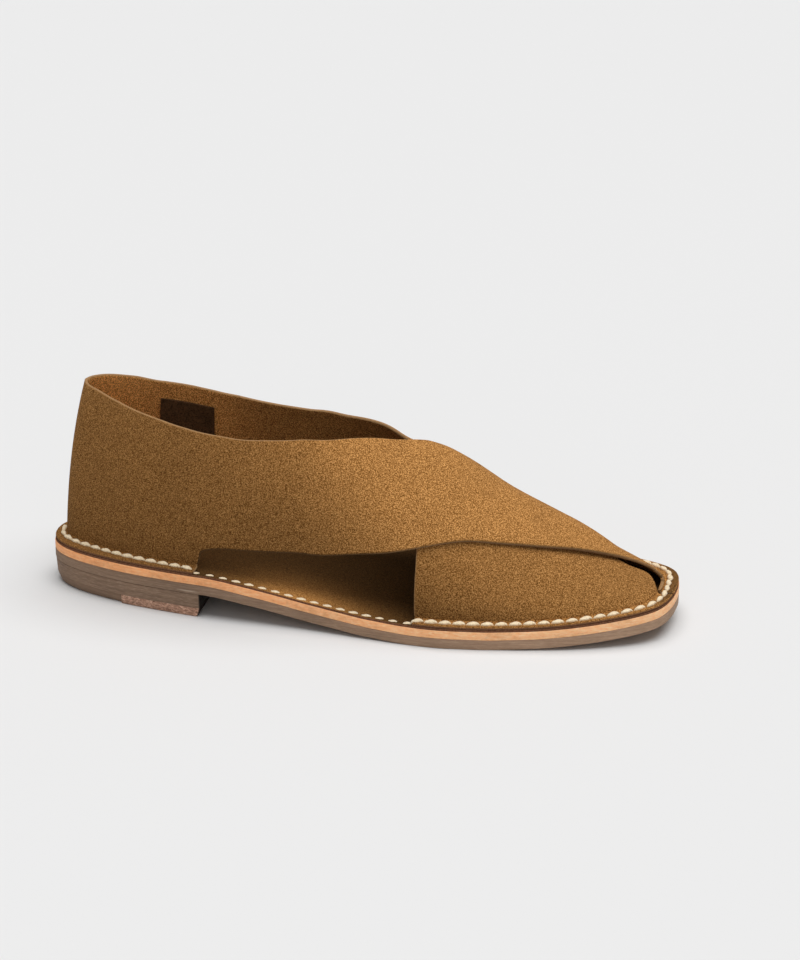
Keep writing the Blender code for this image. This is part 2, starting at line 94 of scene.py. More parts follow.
# rulings of the strap's two ends: lower way round and height, upper way round and height
lateralBand = [
    (0.0, -1.0, 0.0, -0.612), (0.05, -1.0, 0.05, -0.614),
    (0.1, -1.0, 0.1, -0.625), (0.15, -1.0, 0.15, -0.634),
    (0.2, -1.0, 0.203, -0.636), (0.235, -1.0, 0.245, -0.624),
    (0.262, -1.0, 0.28, -0.602), (0.268, -0.95, 0.295, -0.59),
    (0.29, -0.931, 0.32, -0.572), (0.33, -0.912, 0.35, -0.543),
    (0.377, -0.887, 0.39, -0.49), (0.437, -0.837, 0.43, -0.405),
    (0.495, -0.766, 0.468, -0.305), (0.553, -0.68, 0.505, -0.2),
    (0.61, -0.6, 0.535, -0.1), (0.66, -0.515, 0.558, 0.0),
    (0.71, -0.448, 0.575, 0.12), (0.76, -0.388, 0.586, 0.27),
    (0.805, -0.325, 0.591, 0.45), (0.85, -0.258, 0.593, 0.65),
    (0.885, -0.198, 0.591, 0.84), (0.915, -0.156, 0.587, 1.0),
    (0.935, -0.147, 0.64, 1.0), (0.95, -0.143, 0.72, 1.0),
    (0.963, -0.138, 0.8, 1.0), (0.974, -0.115, 0.87, 1.0),
    (0.983, -0.06, 0.925, 1.0), (0.99, 0.05, 0.96, 1.0),
    (0.996, 0.22, 0.985, 1.0), (1.0, 0.4, 1.0, 1.0),
    (1.006, 1.0, 1.01, 1.0), (1.02, 1.0, 1.021, 1.0),
    (1.033, 1.0, 1.033, 1.0), (1.045, 1.0, 1.045, 1.0),
]
medialBand = [
    (0.0, 1.0, 0.0, 0.612), (0.05, 1.0, 0.05, 0.615),
    (0.1, 1.0, 0.1, 0.624), (0.15, 1.0, 0.15, 0.636),
    (0.2, 1.0, 0.203, 0.635), (0.235, 1.0, 0.245, 0.623),
    (0.262, 1.0, 0.28, 0.6), (0.268, 0.95, 0.295, 0.589),
    (0.29, 0.931, 0.32, 0.571), (0.33, 0.912, 0.35, 0.55),
    (0.377, 0.887, 0.39, 0.509), (0.437, 0.837, 0.43, 0.429),
    (0.495, 0.766, 0.468, 0.335), (0.553, 0.68, 0.505, 0.235),
    (0.61, 0.6, 0.535, 0.11), (0.66, 0.515, 0.556, 0.0),
    (0.7, 0.44, 0.572, -0.12), (0.74, 0.355, 0.581, -0.27),
    (0.775, 0.255, 0.585, -0.45), (0.805, 0.145, 0.587, -0.65),
    (0.835, 0.03, 0.588, -0.84), (0.862, -0.09, 0.59, -1.0),
    (0.884, -0.175, 0.64, -1.0), (0.905, -0.2, 0.7, -1.0),
    (0.926, -0.19, 0.76, -1.0), (0.94, -0.226, 0.815, -1.0),
    (0.948, -0.318, 0.86, -1.0), (0.952, -0.43, 0.9, -1.0),
    (0.953, -0.53, 0.93, -1.0), (0.9535, -0.6, 0.9562, -1.0),
]
heelFootRows = 6
foreFootRow = 21


def smoothLine(rows, column):
    # shape-keeping cubic through one column of a table
    x = np.array([r[0] for r in rows], float)
    y = np.array([r[column] for r in rows], float)
    h = np.diff(x)
    d = np.diff(y) / h
    m = np.zeros_like(y)
    for i in range(1, len(x) - 1):
        if d[i - 1] * d[i] > 0:
            a = 2 * h[i] + h[i - 1]
            b = h[i] + 2 * h[i - 1]
            m[i] = (a + b) / (a / d[i - 1] + b / d[i])

    def endSlope(h0, h1, d0, d1):
        s = ((2 * h0 + h1) * d0 - h0 * d1) / (h0 + h1)
        if s * d0 <= 0:
            return 0.0
        if d0 * d1 < 0 and abs(s) > 3 * abs(d0):
            return 3 * d0
        return s

    m[0] = endSlope(h[0], h[1], d[0], d[1])
    m[-1] = endSlope(h[-1], h[-2], d[-1], d[-2])

    def at(q):
        q = np.clip(np.asarray(q, float), x[0], x[-1])
        k = np.clip(np.searchsorted(x, q, side="right") - 1, 0, len(h) - 1)
        t = (q - x[k]) / h[k]
        a = (1 + 2 * t) * (1 - t) ** 2
        b = t * (1 - t) ** 2
        c = t * t * (3 - 2 * t)
        e = t * t * (t - 1)
        return a * y[k] + b * h[k] * m[k] + c * y[k + 1] + e * h[k] * m[k + 1]

    return at


def edgeLine(side, inset, count=1600):
    # edge of the sole on one side, moved in by an inset that may vary along it
    column = 1 if side < 0 else 2
    pts = np.array([(r[0] * last["soleLength"], r[column] * last["soleWidth"]) for r in outline])
    run = np.concatenate([[0.0], np.cumsum(np.hypot(*np.diff(pts, axis=0).T))])
    fx = smoothLine(list(zip(run, pts[:, 0])), 1)
    fy = smoothLine(list(zip(run, pts[:, 1])), 1)
    s = np.linspace(0.0, run[-1], count)
    line = np.stack([fx(s), fy(s)], 1)
    tan = np.gradient(line, axis=0)
    tan /= np.linalg.norm(tan, axis=1)[:, None]
    tan[0] = (0.0, side)
    tan[-1] = (0.0, -side)
    out = np.stack([tan[:, 1], -tan[:, 0]], 1) * -side
    share = np.linspace(0.0, 1.0, count)
    depth = inset(share) if callable(inset) else np.full(count, float(inset))
    line = line - out * depth[:, None]
    run = np.concatenate([[0.0], np.cumsum(np.hypot(*np.diff(line, axis=0).T))])
    run = run / run[-1]

    def at(p):
        x = np.interp(p, run, line[:, 0])
        y = np.interp(p, run, line[:, 1])
        nx = np.interp(p, run, out[:, 0])
        ny = np.interp(p, run, out[:, 1])
        n = np.hypot(nx, ny)
        return x, y, nx / n, ny / n, np.interp(p, run, depth)

    return at


def smoothStep(x):
    x = np.clip(x, 0.0, 1.0)
    return x * x * (3 - 2 * x)


def eased(x, span):
    # 0 up to where the span starts, then softly to 1 over its length
    return smoothStep((x - span[0]) / span[1])


heelShare, toeShare = smoothLine(profile, 1), smoothLine(profile, 2)
crestX, crestY, crestZ, crestLean, crestPower = [smoothLine(crest, k) for k in range(1, 6)]
flangeShare = {-1: smoothLine(flange, 1), 1: smoothLine(flange, 2)}
wrapEnd = 1.06  # how far the lateral flange goes on round the toe tip
suede, fit = last["suede"], last["fit"]
midsoleBase = last["outsoleThick"] + fit
insoleBase = midsoleBase + last["midsoleThick"] + fit
flangeBase = insoleBase + last["insoleThick"] + fit


def ground(x):
    # underside of the outsole
    u = np.clip(np.asarray(x, float) / last["soleLength"], 0.0, 1.0)
    return heelShare(u) * last["heelRise"] + toeShare(u) * last["toeSpring"]


def footEdge(side):
    # foot line of one side; past the toe tip it goes on along the other side
    near = edgeLine(side, lambda share: flangeShare[side](share) * last["flangeWide"])
    far = edgeLine(-side, lambda share: flangeShare[-side](share) * last["flangeWide"])

    def at(p):
        p = np.asarray(p, float)
        here = near(np.minimum(p, 1.0))
        there = far(np.minimum(2.0 - p, 1.0))
        return tuple(np.where(p > 1.0, b, a) for a, b in zip(here, there))

    return at


footLine = {side: footEdge(side) for side in (-1, 1)}


def lastPoint(p, t):
    # outside of the upper, p round the edge, t over the foot
    p = np.clip(np.asarray(p, float), 0.0, wrapEnd)
    t = np.clip(np.asarray(t, float), -1.0, 1.0)
    p, t = np.broadcast_arrays(p, t)
    lx, ly = footLine[-1](p)[:2]
    mx, my = footLine[1](p)[:2]
    fx = np.where(t < 0, lx, mx)
    fy = np.where(t < 0, ly, my)
    fz = ground(fx) + flangeBase
    tx = crestX(p) * last["soleLength"]
    ty = crestY(p) * last["soleWidth"]
    tz = ground(tx) + flangeBase + crestZ(p) * last["instepHeight"]
    angle = (1 - np.abs(t)) * math.pi / 2
    power = crestPower(p)
    run = 1 - np.cos(angle) ** power
    rise = np.sin(angle) ** power
    lean = crestLean(p) * (tz - fz) * rise * (1 - run)
    return np.stack([fx + (tx - fx) * run + lean, fy + (ty - fy) * run, fz + (tz - fz) * rise], -1)


def lastNormal(p, t):
    dp, dt = 0.004, 0.02
    a = lastPoint(np.asarray(p) + dp, t) - lastPoint(np.asarray(p) - dp, t)
    b = lastPoint(p, np.asarray(t) + dt) - lastPoint(p, np.asarray(t) - dt)
    n = np.cross(a, b)
    return n / np.linalg.norm(n, axis=-1)[..., None]


def footHeight(p, side):
    # height share where the wall leaves the turned-out flange
    fx = footLine[side](p)[0]
    tx = crestX(p) * last["soleLength"]
    tall = crestZ(p) * last["instepHeight"] + ground(tx) - ground(fx)
    share = np.clip((suede + last["cornerRadius"]) / np.maximum(tall, 0.1), 0.0, 1.0)
    return np.arcsin(share ** (1 / crestPower(p))) * 2 / math.pi


lowerRearP = smoothLine(sorted((r[3], r[2]) for r in medialBand[9:22]), 1)
lowerFrontT = smoothLine([(r[0], r[1]) for r in medialBand[13:26]], 1)
upperEdgeT = smoothLine([(r[0], r[1]) for r in lateralBand[12:30]], 1)


# rise of the over-lying band: pairs are start and length of a span, in shares of the way round or over
liftSizes = {
    "rear": (-0.090, 0.082), "front": (-0.50, 0.44), "foot": (0.0, 0.25), "tip": (0.93, 0.07), "tipDrop": 0.6,
    "lipCurl": 0.9, "curlIn": (0.70, 0.12), "curlOut": (0.94, 0.04), "curlWide": 0.07,
}


def lift(p, t):
    # how far the over-lying band stands off the last
    sz = liftSizes
    rise = eased(p - lowerRearP(np.clip(t, -1.0, 0.0)), sz["rear"]) * eased(lowerFrontT(p) - t, sz["front"])
    rise = rise * (1 - sz["tipDrop"] * eased(p, sz["tip"])) * eased(1.0 - np.abs(t), sz["foot"])
    curl = eased(p, sz["curlIn"]) * (1 - eased(p, sz["curlOut"]))
    lip = sz["lipCurl"] * curl * np.exp(-((t - upperEdgeT(p)) / sz["curlWide"]) ** 2)
    return (suede + last["lipGap"]) * rise + lip


def added(name, data):
    obj = bpy.data.objects.new(name, data)
    scene.collection.objects.link(obj)
    return obj


def closedMesh(name, verts, faces, marks=None, sharp=None):
    # one closed mesh from points in millimetres, facing out; marks are float attributes
    keys, remap, pts, kept = {}, [], [], []
    for i, v in enumerate(verts):
        key = (round(float(v[0]), 4), round(float(v[1]), 4), round(float(v[2]), 4))
        if key not in keys:
            keys[key] = len(pts)
            pts.append(((v[0] - last["soleLength"] / 2) * mm, v[1] * mm, v[2] * mm))
            kept.append(i)
        remap.append(keys[key])
    clean = []
    for f in faces:
        ids = list(dict.fromkeys(remap[i] for i in f))
        if len(ids) >= 3:
            clean.append(ids)
    used = sorted({i for f in clean for i in f})
    renew = {old: new for new, old in enumerate(used)}
    pts = np.array([pts[i] for i in used])
    clean = [[renew[i] for i in f] for f in clean]
    a = np.array([pts[f[0]] for f in clean])
    volume = sum(np.einsum("ij,ij->", a, np.cross(
        np.array([pts[f[min(k, len(f) - 2)]] for f in clean]),
        np.array([pts[f[min(k + 1, len(f) - 1)]] for f in clean]))) for k in (1, 2))
    if volume < 0:
        clean = [f[::-1] for f in clean]
    mesh = bpy.data.meshes.new(name)
    mesh.from_pydata(pts.tolist(), [], clean)
    for mark, values in (marks or {}).items():
        data = mesh.attributes.new(mark, "FLOAT", "POINT")
        data.data.foreach_set("value", [float(values[kept[i]]) for i in used])
    mesh.polygons.foreach_set("use_smooth", [True] * len(mesh.polygons))
    if sharp:
        mesh.set_sharp_from_angle(angle=math.radians(sharp))
    mesh.update()
    return added(name, mesh)


def dress(obj, finish, node=None):
    obj.data.materials.clear()
    obj.data.materials.append(finish)
    if node:
        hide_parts(node)
    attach(obj, "root")


# shading helpers
def newFinish(name, rough, specular=0.5):
    finish = bpy.data.materials.new(name)
    finish.use_nodes = True
    shader = finish.node_tree.nodes["Principled BSDF"]
    shader.inputs["Roughness"].default_value = rough
    shader.inputs["Specular IOR Level"].default_value = specular
    return finish, finish.node_tree, shader


def feed(tree, socket, value):
    if isinstance(value, bpy.types.NodeSocket):
        tree.links.new(value, socket)
    elif isinstance(value, tuple) and len(value) == 3 and socket.type == "RGBA":
        socket.default_value = (*value, 1.0)
    else:
        socket.default_value = value


def place(tree, stretch=(1.0, 1.0, 1.0), shift=(0.0, 0.0, 0.0)):
    coord = tree.nodes.new("ShaderNodeTexCoord")
    mapping = tree.nodes.new("ShaderNodeMapping")
    mapping.inputs["Scale"].default_value = stretch
    mapping.inputs["Location"].default_value = shift
    tree.links.new(coord.outputs["Object"], mapping.inputs["Vector"])
    return mapping.outputs["Vector"]


def noise(tree, vector, scale, detail=2.0, rough=0.5, warp=0.0):
    n = tree.nodes.new("ShaderNodeTexNoise")
    feed(tree, n.inputs["Vector"], vector)
    n.inputs["Scale"].default_value = scale
    n.inputs["Detail"].default_value = detail
    n.inputs["Roughness"].default_value = rough
    n.inputs["Distortion"].default_value = warp
    return n.outputs["Fac"]


def ramp(tree, fac, stops):
    n = tree.nodes.new("ShaderNodeValToRGB")
    feed(tree, n.inputs["Fac"], fac)
    while len(n.color_ramp.elements) < len(stops):
        n.color_ramp.elements.new(0.5)
    for element, (where, colour) in zip(n.color_ramp.elements, stops):
        element.position = where
        element.color = (*colour, 1.0) if isinstance(colour, tuple) else (colour,) * 3 + (1.0,)
    return n.outputs["Color"]


def blendColour(tree, fac, a, b, mode="MIX"):
    n = tree.nodes.new("ShaderNodeMix")
    n.data_type = "RGBA"
    n.blend_type = mode
    feed(tree, n.inputs[0], fac)
    feed(tree, n.inputs[6], a)
    feed(tree, n.inputs[7], b)
    return n.outputs[2]


def coat(tree, shader, colour, relief):
    feed(tree, shader.inputs["Base Color"], colour)
    feed(tree, shader.inputs["Normal"], relief)


def times(tree, colour, factor):
    return blendColour(tree, 1.0, colour, factor, "MULTIPLY")


def mottled(tree, colour, fac, stops):
    return times(tree, colour, ramp(tree, fac, stops))


def dyed(colour, share):
    return tuple(c * share for c in colour)


def maths(tree, operation, a, b=0.0, clamp=False):
    n = tree.nodes.new("ShaderNodeMath")
    n.operation = operation
    n.use_clamp = clamp
    feed(tree, n.inputs[0], a)
    feed(tree, n.inputs[1], b)
    return n.outputs[0]


def mark(tree, name):
    n = tree.nodes.new("ShaderNodeAttribute")
    n.attribute_name = name
    return n.outputs["Fac"]


def spread(tree, fac, low, high, to=(0.0, 1.0)):
    n = tree.nodes.new("ShaderNodeMapRange")
    feed(tree, n.inputs["Value"], fac)
    for key, value in zip(("From Min", "From Max", "To Min", "To Max"), (low, high, *to)):
        n.inputs[key].default_value = value
    return n.outputs["Result"]


def shaded(tree, colour, name, span):
    # colour multiplied by a mark, which is spread over a span of factors
    return times(tree, colour, spread(tree, mark(tree, name), 0.0, 1.0, span))


def bump(tree, height, strength, distance, under=None):
    n = tree.nodes.new("ShaderNodeBump")
    n.inputs["Strength"].default_value = strength
    n.inputs["Distance"].default_value = distance
    feed(tree, n.inputs["Height"], height)
    if under:
        tree.links.new(under, n.inputs["Normal"])
    return n.outputs["Normal"]


# finishes; each look holds linear colours and noise scales per metre
suedeLook = {
    "colour": (0.385, 0.174, 0.047), "light": (0.740, 0.375, 0.125), "dark": (0.160, 0.064, 0.013),
    "cutEdge": (0.360, 0.205, 0.092), "inkedEdge": (0.150, 0.068, 0.037), "deepShade": 0.30,
    "napScale": 2100.0, "clumpScale": 620.0, "brushScale": 17.0, "fuzzScale": 1500.0, "sheen": 0.03,
}
# the insole's colours are darkened as painted shade
insoleShadedLook = dict(suedeLook, colour=(0.110, 0.050, 0.0135), light=(0.175, 0.086, 0.026),
                  dark=(0.062, 0.026, 0.007))


def suedeFinish(name, look):
    finish, tree, shader = newFinish(name, 1.0, 0.05)
    here = place(tree)
    nap = noise(tree, here, look["napScale"], 4.0, 0.62, 0.4)
    clump = noise(tree, here, look["clumpScale"], 3.0, 0.6, 0.3)
    brush = noise(tree, place(tree, (1.0, 1.0, 1.6)), look["brushScale"], 3.0, 0.55, 0.6)
    fuzz = noise(tree, here, look["fuzzScale"], 2.0, 0.6)
    colour = ramp(tree, nap, [(0.40, look["dark"]), (0.50, look["colour"]), (0.61, look["light"])])
    colour = mottled(tree, colour, clump, [(0.32, 0.94), (0.5, 1.0), (0.68, 1.06)])
    colour = mottled(tree, colour, brush, [(0.34, 0.94), (0.5, 1.0), (0.66, 1.05)])
    # the tone mark paints light and shade onto the colour; on the insole it paints a pool of light
    colour = times(tree, colour, mark(tree, "tone"))
    cut = ramp(tree, fuzz, [(0.3, dyed(look["cutEdge"], 0.75)), (0.7, dyed(look["cutEdge"], 1.15))])
    ink = ramp(tree, fuzz, [(0.3, dyed(look["inkedEdge"], 0.7)), (0.7, dyed(look["inkedEdge"], 1.6))])
    colour = blendColour(tree, mark(tree, "cut"), colour, cut)
    colour = blendColour(tree, mark(tree, "ink"), colour, ink)
    # the shade mark darkens the colour: painted shade along the seam and under the over band's lower edge,
    # and the darker toe flange
    colour = shaded(tree, colour, "shade", (1.0, look["deepShade"]))
    shader.inputs["Sheen Weight"].default_value = look["sheen"]
    shader.inputs["Sheen Roughness"].default_value = 0.6
    shader.inputs["Sheen Tint"].default_value = (0.85, 0.62, 0.38, 1.0)
    coat(tree, shader, colour, bump(tree, nap, 0.7, 0.0003, bump(tree, clump, 0.3, 0.0004)))
    return finish


# rear and front multiply the colour toward the heel and toward the toe
midsoleLook = {
    "colour": (0.94, 0.455, 0.190), "light": (0.97, 0.58, 0.29), "dark": (0.84, 0.350, 0.130),
    "rear": (1.00, 0.93, 0.92), "front": (1.06, 1.20, 1.42),
    "fibreScale": 260.0, "poreScale": 620.0, "cloudScale": 45.0,
}


def leatherEdgeFinish(name, look):
    finish, tree, shader = newFinish(name, 0.62, 0.35)
    fibre = noise(tree, place(tree, (1.0, 1.0, 5.0)), look["fibreScale"], 5.0, 0.65, 0.5)
    pore = noise(tree, place(tree), look["poreScale"], 3.0, 0.6)
    cloud = noise(tree, place(tree, (1.0, 1.0, 2.0)), look["cloudScale"], 3.0, 0.6, 0.5)
    colour = ramp(tree, fibre, [(0.30, look["dark"]), (0.5, look["colour"]), (0.72, look["light"])])
    colour = mottled(tree, colour, pore, [(0.3, 0.90), (0.5, 1.0), (0.7, 1.08)])
    colour = mottled(tree, colour, cloud, [(0.35, 0.95), (0.6, 1.10)])
    colour = times(tree, colour, blendColour(tree, mark(tree, "tone"), look["rear"], look["front"]))
    coat(tree, shader, colour, bump(tree, pore, 0.4, 0.0003, bump(tree, fibre, 0.5, 0.0005)))
    return finish


# what the rubber and leather of the sole share: the painted shadow on the heel's breast face under the arch,
# and factors at the heel and at the toe
soleGrain = {
    "alongScale": 420.0, "fineScale": 1300.0, "cloudScale": 38.0, "warmShare": 0.8,
    "breastShadow": (1.0, 0.06), "heelToToe": (0.97, 1.45),
}
# warm is a browner lower edge, scuff a rubbed place: centre and half sizes in millimetres
outsoleLook = {
    "colour": (0.262, 0.166, 0.106), "dark": (0.205, 0.126, 0.078), "light": (0.330, 0.218, 0.146),
    "streaks": 0.5,
    "warm": {"top": 2.2, "low": 1.6, "colour": (0.33, 0.215, 0.14), "dark": (0.21, 0.13, 0.08)},
    "scuff": {"at": (-72.5, -40.0, 12.7), "half": (6.5, 14.0, 0.45), "colour": (0.46, 0.35, 0.26)},
}
heelLook = {
    "colour": (0.252, 0.159, 0.102), "dark": (0.195, 0.120, 0.074), "light": (0.320, 0.210, 0.140),
    "streaks": 0.7,
    "scuff": {"at": (-67.5, -30.5, 7.0), "half": (1.1, 4.0, 5.5), "colour": (0.62, 0.46, 0.33)},
}
rearTopLook = {
    "colour": (0.250, 0.158, 0.101), "dark": (0.194, 0.119, 0.073), "light": (0.318, 0.208, 0.139),
    "streaks": 0.7,
}


def soleFinish(name, look):
    # moulded sole edge, sanded along its length; rise is the height above the sole's underside
    finish, tree, shader = newFinish(name, 0.72, 0.35)
    along = noise(tree, place(tree, (0.10, 0.10, 3.2)), soleGrain["alongScale"], 4.0, 0.65, 0.2)
    fine = noise(tree, place(tree, (0.25, 0.25, 2.0)), soleGrain["fineScale"], 3.0, 0.6)
    cloud = noise(tree, place(tree), soleGrain["cloudScale"], 3.0, 0.6)
    base = ramp(tree, along, [(0.30, look["dark"]), (0.52, look["colour"]), (0.74, look["light"])])
    if "warm" in look:
        warm = look["warm"]
        edge = spread(tree, mark(tree, "rise"), warm["top"] * mm, warm["low"] * mm)
        brown = ramp(tree, along, [(0.3, warm["dark"]), (0.7, warm["colour"])])
        base = blendColour(tree, maths(tree, "MULTIPLY", edge, soleGrain["warmShare"]), base, brown)
    scratches = ramp(tree, fine, [(0.3, 0.80), (0.5, 1.0), (0.7, 1.12)])
    base = blendColour(tree, look["streaks"], base, scratches, "MULTIPLY")
    base = mottled(tree, base, cloud, [(0.35, 0.92), (0.65, 1.06)])
    if "scuff" in look:
        scuff = look["scuff"]
        stretch = tuple(1 / (h * mm) for h in scuff["half"])
        shift = tuple(-c / h for c, h in zip(scuff["at"], scuff["half"]))
        far = tree.nodes.new("ShaderNodeVectorMath")
        far.operation = "LENGTH"
        feed(tree, far.inputs[0], place(tree, stretch, shift))
        broken = maths(tree, "SUBTRACT", fine, 0.5)
        scuffAndLightPool = maths(tree, "ADD", spread(tree, far.outputs["Value"], 1.0, 0.2), broken)
        base = blendColour(tree, maths(tree, "MULTIPLY", scuffAndLightPool, 1.0, True), base, scuff["colour"])
    # painted shadow on the heel's breast face
    base = shaded(tree, base, "shade", soleGrain["breastShadow"])
    base = shaded(tree, base, "tone", soleGrain["heelToToe"])
    feed(tree, shader.inputs["Roughness"], spread(tree, along, 0.3, 0.7, (0.62, 0.82)))
    coat(tree, shader, base, bump(tree, fine, 0.3, 0.0002, bump(tree, along, 0.35, 0.0003)))
    return finish


stackLook = {
    "colour": (0.46, 0.255, 0.172), "light": (0.78, 0.50, 0.36), "dark": (0.22, 0.12, 0.078),
    "grainScale": 700.0, "cloudScale": 110.0,
}


def stackedLeatherFinish(name, look):
    finish, tree, shader = newFinish(name, 0.85, 0.25)
    grain = noise(tree, place(tree, (1.0, 1.0, 1.6)), look["grainScale"], 4.0, 0.7, 0.4)
    cloud = noise(tree, place(tree, (0.5, 0.5, 2.0)), look["cloudScale"], 3.0, 0.6)
    colour = ramp(tree, grain, [(0.34, look["dark"]), (0.5, look["colour"]), (0.66, look["light"])])
    colour = mottled(tree, colour, cloud, [(0.35, 0.85), (0.65, 1.1)])
    # painted shadow on the heel's breast face
    colour = shaded(tree, colour, "shade", soleGrain["breastShadow"])
    coat(tree, shader, colour, bump(tree, grain, 0.8, 0.0005))
    return finish


liningLook = {
    "light": (0.120, 0.062, 0.028), "dark": (0.042, 0.021, 0.009), "grainScale": 1500.0, "cloudScale": 90.0,
}


def liningFinish(name, look):
    finish, tree, shader = newFinish(name, 0.9, 0.1)
    grain = noise(tree, place(tree), look["grainScale"], 3.0, 0.6)
    cloud = noise(tree, place(tree), look["cloudScale"], 3.0, 0.6)
    colour = ramp(tree, grain, [(0.38, look["dark"]), (0.62, look["light"])])
    colour = mottled(tree, colour, cloud, [(0.35, 0.8), (0.65, 1.1)])
    coat(tree, shader, colour, bump(tree, grain, 0.3, 0.0002))
    return finish


threadLook = {
    "colour": (0.88, 0.72, 0.49), "light": (0.95, 0.82, 0.60), "dark": (0.70, 0.54, 0.34),
    "fibreScale": 1500.0, "sheen": 0.2,
}


def threadFinish(name, look):
    finish, tree, shader = newFinish(name, 0.75, 0.3)
    fibre = noise(tree, place(tree), look["fibreScale"], 3.0, 0.6)
    colour = ramp(tree, fibre, [(0.3, look["dark"]), (0.5, look["colour"]), (0.7, look["light"])])
    shader.inputs["Sheen Weight"].default_value = look["sheen"]
    coat(tree, shader, colour, bump(tree, fibre, 0.5, 0.0002))
    return finish


suedeSkin = suedeFinish("suede_nap", suedeLook)
insoleSkin = suedeFinish("insole_suede_nap", insoleShadedLook)
midsoleSkin = leatherEdgeFinish("midsole_leather_edge", midsoleLook)
outsoleSkin = soleFinish("outsole_sanded_rubber", outsoleLook)
heelSkin = soleFinish("heel_sanded_rubber", heelLook)
rearTopSkin = soleFinish("top_piece_rubber_edge", rearTopLook)
frontTopSkin = stackedLeatherFinish("top_piece_leather_edge", stackLook)
liningSkin = liningFinish("lining_leather_grain", liningLook)
threadSkin = threadFinish("waxed_thread", threadLook)
print("finishes made")

# upper: one strap round the heel, its two ends crossed over the foot
upperSizes = {
    "rows": 54, "steps": 7, "filletRows": 5, "flangeRows": 9,
    "rimRound": 0.42, "seamDepth": 0.28, "seamWide": 0.95, "creaseSoft": 0.2,
}
# painted light and shade over the suede: lighter where it faces up and on its inside, most at the heel;
# darker low on the wall, on the under band's front, on the inside further forward, on the heel flange and on
# the flange's inside; painted shade along the seam and under the over band's lower edge; a darker toe flange
# past the stitches; pairs are start and length of the span where each sets in
paintedLightShade = {
    "steep": 0.56, "flatGain": 0.46, "flat": (0.0, 0.62), "footDark": 0.14, "wall": (0.0, 45.0),
    "underDark": 0.20, "under": (0.45, 0.15), "inside": 1.32, "heelGain": 0.66, "heelWide": 0.11,
    "insideDark": 0.50, "insideFore": (0.22, 0.12), "flange": 0.56, "flangeGain": 0.26,
    "flangeFore": (0.40, 0.15), "flangeInside": 0.6, "seamShade": 0.3, "toeShade": 0.8,
    "toe": (0.90, 0.05), "toeEdge": (-0.6, 1.2), "lipMidFade": 0.4, "lipMid": (0.50, 0.08),
    "lipEndFade": 0.6, "lipEnd": (0.86, 0.06),
}

# stitch line: way round the edge, distance in from the sole's edge in millimetres
stitchInset = smoothLine([
    (0.00, 3.6), (0.05, 4.6), (0.10, 5.0), (0.17, 4.1), (0.24, 3.3), (0.30, 2.4), (0.45, 2.2),
    (0.58, 2.3), (0.64, 2.8), (0.78, 2.8), (0.90, 3.3), (0.96, 3.9), (1.00, 4.6),
], 1)

# soft troughs and ridges worn into the suede: way round, height, their spreads, depth
creases = [
    (0.06, -0.80, 0.020, 0.16, -0.5), (0.15, -0.86, 0.030, 0.10, 0.4), (0.20, -0.74, 0.018, 0.14, -0.4),
    (0.42, -0.60, 0.030, 0.10, -0.5), (0.50, -0.42, 0.020, 0.12, 0.4), (0.56, -0.30, 0.018, 0.12, -0.5),
    (0.62, 0.30, 0.020, 0.20, -0.4), (0.70, -0.70, 0.030, 0.10, -0.3), (0.80, -0.60, 0.030, 0.12, 0.3),
    (0.08, 0.80, 0.022, 0.16, -0.4), (0.18, 0.86, 0.026, 0.10, -0.3), (0.45, 0.68, 0.028, 0.10, -0.25),
    (0.72, 0.65, 0.030, 0.12, -0.3),
]


def worn(p, t):
    out = np.zeros(np.broadcast(p, t).shape)
    for cp, ct, wp, wt, deep in creases:
        out = out + deep * np.exp(-((p - cp) / wp) ** 2 - ((t - ct) / wt) ** 2)
    return out


def flangeRows(p, side, foot):
    # turned-out flange beside a wall foot: outer and inner points and their shade, row by row
    ex, ey, nx, ny, depth = footLine[side](p)
    wide = depth - fit + (ex - foot[:, 0]) * nx + (ey - foot[:, 1]) * ny
    radius, tn = last["cornerRadius"], paintedLightShade
    zf = foot[:, 2] - suede - radius
    bends = np.radians(np.linspace(0.0, 90.0, upperSizes["filletRows"] + 1)[1:])
    flat = np.linspace(0, 1, upperSizes["flangeRows"] + 1)[1:]
    outer, inner, shades = [], [], []
    for a, far in [(a, 0.0) for a in bends] + [(math.pi / 2, k) for k in flat]:
        out = radius * (1 - math.cos(a)) + far * (wide - radius)
        inn = radius - (radius + suede) * math.cos(a) + far * (wide - radius)
        o, i = [np.stack([foot[:, 0] + nx * d, foot[:, 1] + ny * d, foot[:, 2] - r * math.sin(a)], 1)
                for d, r in ((out, radius), (inn, radius + suede))]
        shade = np.zeros(len(p))
        if far > 0:
            tilt = ground(i[:, 0]) + flangeBase - zf
            o[:, 2] += tilt
            i[:, 2] += tilt
            away = (wide + fit - out) - stitchInset(p)
            # painted shade along the stitch groove; past the stitches at the toe the flange is darker
            seam = np.exp(-(away / upperSizes["seamWide"]) ** 2)
            o[:, 2] -= upperSizes["seamDepth"] * seam
            toe = eased(p, tn["toe"]) * eased(-away, tn["toeEdge"])
            shade = np.maximum(seam * tn["seamShade"], toe * tn["toeShade"])
        outer.append(o)
        inner.append(i)
        shades.append(shade)
    return outer, inner, shades


